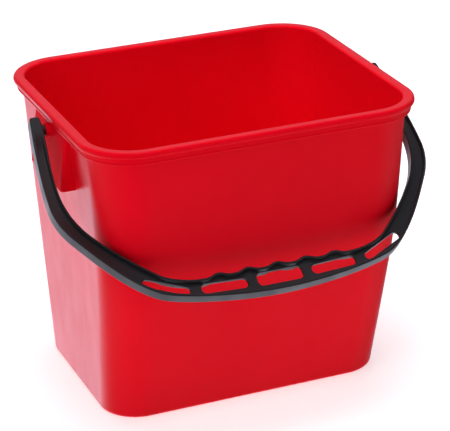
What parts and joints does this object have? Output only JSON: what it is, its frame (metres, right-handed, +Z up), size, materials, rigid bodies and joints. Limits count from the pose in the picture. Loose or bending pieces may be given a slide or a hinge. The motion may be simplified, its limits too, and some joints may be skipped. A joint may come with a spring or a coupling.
{
  "type": "wash bucket",
  "caption": "Rectangular wash bucket with a rolled rim, a sloping front wall and a swinging bail handle with finger ridges.",
  "frame": {"origin": "on the ground, under the middle of the line through the two handle pivots", "axes": "+Z up, -Y towards the sloping front wall, +X along the pivot line towards the right side seen from the front"},
  "size_m": [0.308, 0.2616, 0.24],
  "materials": {
    "tub_plastic": "red glossy polypropylene",
    "handle_plastic": "black satin polypropylene",
    "pin_plastic": "black satin plastic"
  },
  "bodies": {
    "bucket": {"bucket_shell": "tub_plastic"},
    "handle": {"handle_bail": "handle_plastic", "left_pivot_pin": "pin_plastic", "right_pivot_pin": "pin_plastic"}
  },
  "joints": [
    {"name": "handle_swing", "type": "hinge", "parent": "bucket", "child": "handle", "pos_m": [0, 0, 0.2235], "axis": [-1, 0, 0], "range_deg": [0, 250]}
  ]
}
